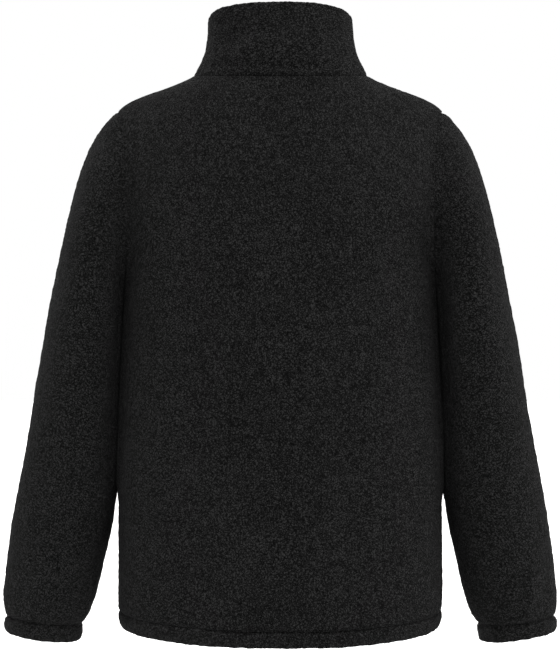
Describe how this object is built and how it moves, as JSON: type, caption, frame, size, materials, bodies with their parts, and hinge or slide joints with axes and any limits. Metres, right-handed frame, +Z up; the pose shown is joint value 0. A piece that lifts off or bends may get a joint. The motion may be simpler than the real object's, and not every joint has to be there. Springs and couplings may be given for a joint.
{
  "type": "sherpa jacket",
  "caption": "Sherpa fleece jacket in its worn shape, hollow, with a high stand collar, set-in sleeves, banded hem and cuffs, and a closed front zip with a hanging pull tab.",
  "frame": {"origin": "middle of the neck base, level with the two neck points where the shoulder seams start", "axes": "+Z up, the front of the jacket faces -Y, and the wearer's left is +X"},
  "size_m": [0.6958, 0.2966, 0.7874],
  "materials": {
    "black_fleece": "curly sherpa pile, matt",
    "black_tape": "woven polyester tape",
    "black_resin": "moulded, satin",
    "dark_metal": "dark coated, satin"
  },
  "bodies": {
    "garment": {"back": "black_fleece", "front_left": "black_fleece", "front_right": "black_fleece", "sleeve_left": "black_fleece", "sleeve_right": "black_fleece", "collar": "black_fleece", "hem_band": "black_fleece", "cuff_left": "black_fleece", "cuff_right": "black_fleece", "zip_tape_left": "black_tape", "zip_tape_right": "black_tape", "zip_chain": "black_resin", "zip_box": "black_resin", "zip_slider": "dark_metal"},
    "pull_tab": {"zip_pull": "dark_metal"}
  },
  "joints": [
    {"name": "pull_swing", "type": "hinge", "parent": "garment", "child": "pull_tab", "pos_m": [0, -0.09687, 0.02001], "axis": [-1, 0, 0], "range_deg": [0, 160]}
  ]
}
